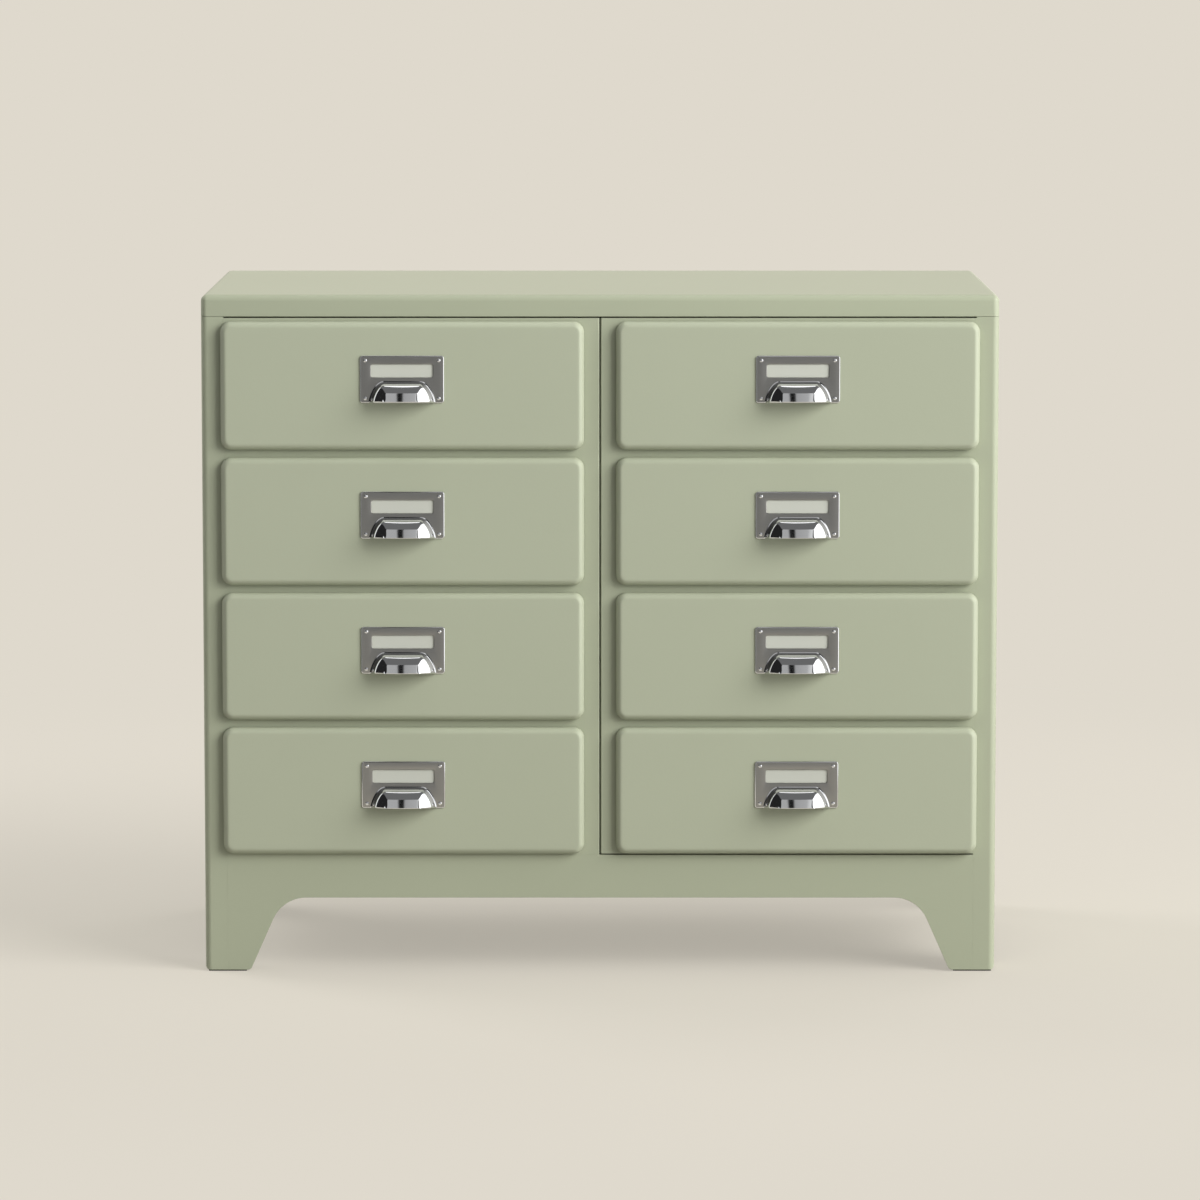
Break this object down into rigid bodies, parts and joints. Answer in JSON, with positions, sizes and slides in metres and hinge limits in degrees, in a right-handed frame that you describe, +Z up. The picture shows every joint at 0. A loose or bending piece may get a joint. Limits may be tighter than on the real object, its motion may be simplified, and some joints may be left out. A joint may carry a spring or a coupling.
{
  "type": "small metal drawer cabinet",
  "caption": "Free-standing sheet-steel cabinet with two columns of pull-out drawers, label-holder cup pulls and cut-out legs.",
  "frame": {"origin": "on the floor, under the middle of the cabinet's box with its pulls", "axes": "+X to the cabinet's right as seen from the front, +Y from the drawers to the back, +Z up"},
  "size_m": [0.74, 0.4116, 0.635],
  "materials": {
    "green_paint": "satin powder coat, sage green",
    "satin_steel": "satin nickel plate",
    "chrome": "polished",
    "pale_card": "matt card",
    "black_rubber": "matt"
  },
  "bodies": {
    "carcass": {"top_panel": "green_paint", "left_side_panel": "green_paint", "right_side_panel": "green_paint", "back_panel": "green_paint", "floor_panel": "green_paint", "centre_partition": "green_paint", "front_apron": "green_paint", "left_face_frame": "green_paint", "right_face_frame": "green_paint", "left_outer_runners": "green_paint", "left_inner_runners": "green_paint", "right_inner_runners": "green_paint", "right_outer_runners": "green_paint", "front_left_pad": "black_rubber", "front_right_pad": "black_rubber", "back_left_pad": "black_rubber", "back_right_pad": "black_rubber"},
    "left_drawer_1": {"left_drawer_1_tray": "green_paint", "left_drawer_1_front": "green_paint", "left_drawer_1_pull_plate": "satin_steel", "left_drawer_1_cup": "chrome", "left_drawer_1_label_card": "pale_card"},
    "left_drawer_2": {"left_drawer_2_tray": "green_paint", "left_drawer_2_front": "green_paint", "left_drawer_2_pull_plate": "satin_steel", "left_drawer_2_cup": "chrome", "left_drawer_2_label_card": "pale_card"},
    "left_drawer_3": {"left_drawer_3_tray": "green_paint", "left_drawer_3_front": "green_paint", "left_drawer_3_pull_plate": "satin_steel", "left_drawer_3_cup": "chrome", "left_drawer_3_label_card": "pale_card"},
    "left_drawer_4": {"left_drawer_4_tray": "green_paint", "left_drawer_4_front": "green_paint", "left_drawer_4_pull_plate": "satin_steel", "left_drawer_4_cup": "chrome", "left_drawer_4_label_card": "pale_card"},
    "right_drawer_1": {"right_drawer_1_tray": "green_paint", "right_drawer_1_front": "green_paint", "right_drawer_1_pull_plate": "satin_steel", "right_drawer_1_cup": "chrome", "right_drawer_1_label_card": "pale_card"},
    "right_drawer_2": {"right_drawer_2_tray": "green_paint", "right_drawer_2_front": "green_paint", "right_drawer_2_pull_plate": "satin_steel", "right_drawer_2_cup": "chrome", "right_drawer_2_label_card": "pale_card"},
    "right_drawer_3": {"right_drawer_3_tray": "green_paint", "right_drawer_3_front": "green_paint", "right_drawer_3_pull_plate": "satin_steel", "right_drawer_3_cup": "chrome", "right_drawer_3_label_card": "pale_card"},
    "right_drawer_4": {"right_drawer_4_tray": "green_paint", "right_drawer_4_front": "green_paint", "right_drawer_4_pull_plate": "satin_steel", "right_drawer_4_cup": "chrome", "right_drawer_4_label_card": "pale_card"}
  },
  "joints": [
    {"name": "left_drawer_1_slide", "type": "slide", "parent": "carcass", "child": "left_drawer_1", "axis": [0, -1, 0], "range_m": [0, 0.28]},
    {"name": "left_drawer_2_slide", "type": "slide", "parent": "carcass", "child": "left_drawer_2", "axis": [0, -1, 0], "range_m": [0, 0.28]},
    {"name": "left_drawer_3_slide", "type": "slide", "parent": "carcass", "child": "left_drawer_3", "axis": [0, -1, 0], "range_m": [0, 0.28]},
    {"name": "left_drawer_4_slide", "type": "slide", "parent": "carcass", "child": "left_drawer_4", "axis": [0, -1, 0], "range_m": [0, 0.28]},
    {"name": "right_drawer_1_slide", "type": "slide", "parent": "carcass", "child": "right_drawer_1", "axis": [0, -1, 0], "range_m": [0, 0.28]},
    {"name": "right_drawer_2_slide", "type": "slide", "parent": "carcass", "child": "right_drawer_2", "axis": [0, -1, 0], "range_m": [0, 0.28]},
    {"name": "right_drawer_3_slide", "type": "slide", "parent": "carcass", "child": "right_drawer_3", "axis": [0, -1, 0], "range_m": [0, 0.28]},
    {"name": "right_drawer_4_slide", "type": "slide", "parent": "carcass", "child": "right_drawer_4", "axis": [0, -1, 0], "range_m": [0, 0.28]}
  ]
}
